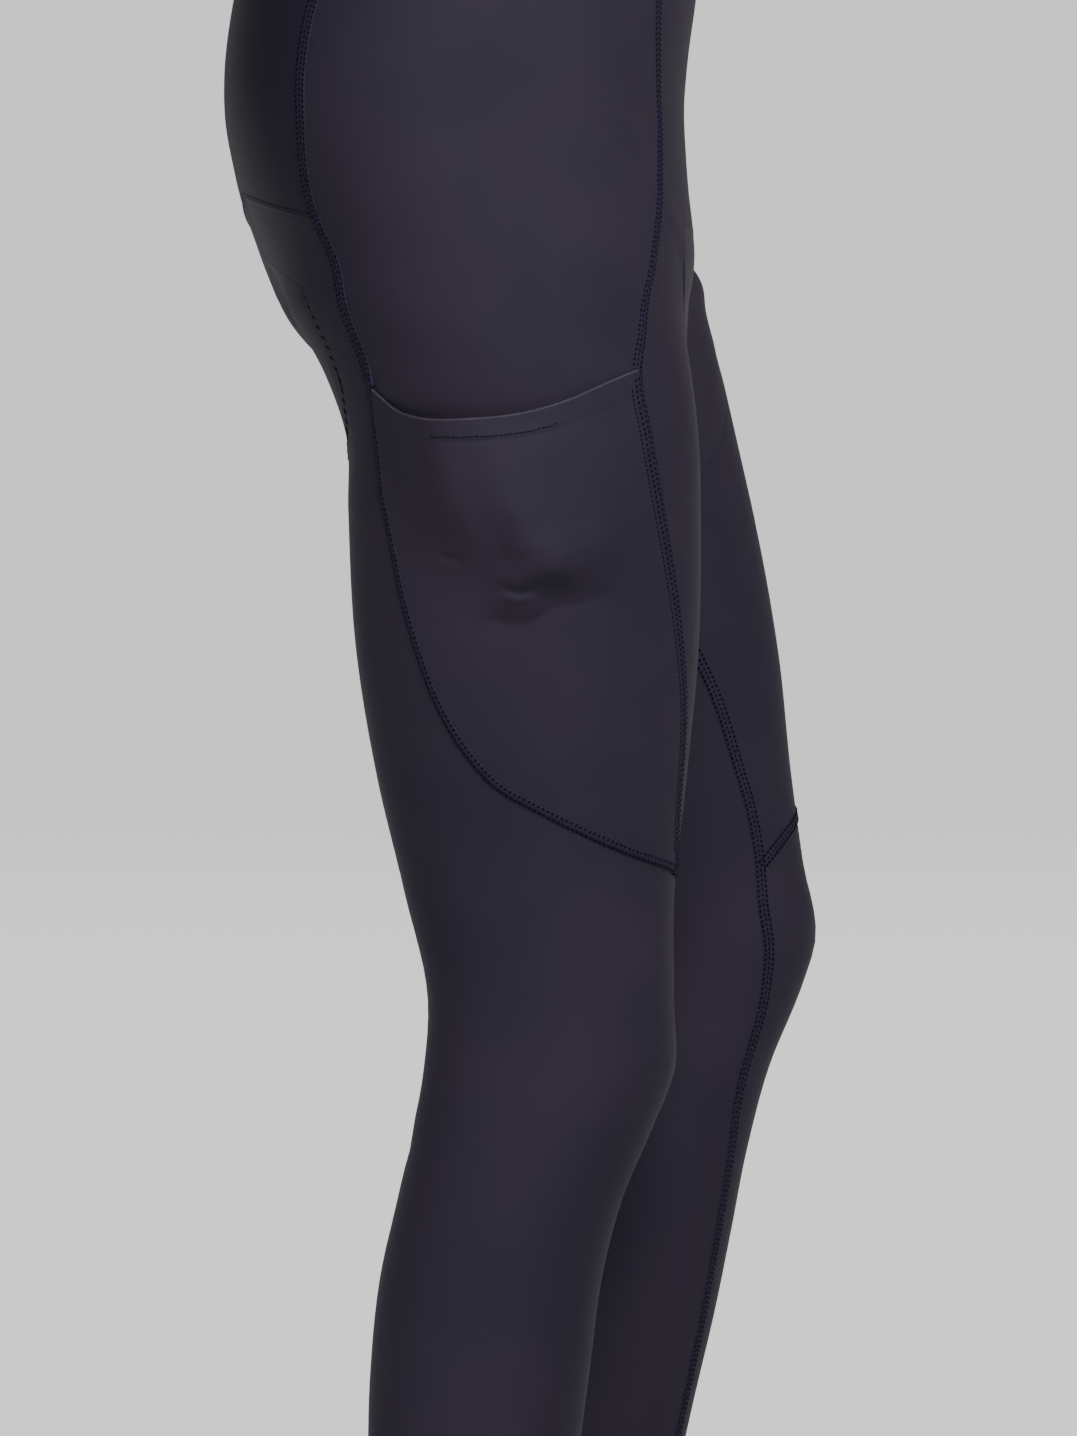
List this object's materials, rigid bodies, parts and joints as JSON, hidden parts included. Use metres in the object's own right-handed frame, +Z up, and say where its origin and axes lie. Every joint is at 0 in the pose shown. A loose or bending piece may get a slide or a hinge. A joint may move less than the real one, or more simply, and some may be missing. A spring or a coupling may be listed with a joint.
{
  "type": "cycling bib tights",
  "caption": "Close-fitting full-length knit bib tights worn by a general figure, with thigh pockets, a saddle gusset and net bib straps.",
  "frame": {"origin": "midway between the two straps at the height where they lie over the wearer's shoulders", "axes": "+Z up, the wearer's front faces -Y, the wearer's left is +X"},
  "size_m": [0.3635, 0.3223, 1.4226],
  "materials": {
    "navy_knit": "matte knit with a soft sheen",
    "bib_net": "matte net"
  },
  "bodies": {
    "root": {"front_right": "navy_knit", "front_left": "navy_knit", "side_right": "navy_knit", "side_left": "navy_knit", "leg_right": "navy_knit", "leg_left": "navy_knit", "pocket_right": "navy_knit", "pocket_left": "navy_knit", "seat": "navy_knit", "gusset": "navy_knit", "bib_back": "bib_net", "strap_right": "bib_net", "strap_left": "bib_net"}
  },
  "joints": []
}
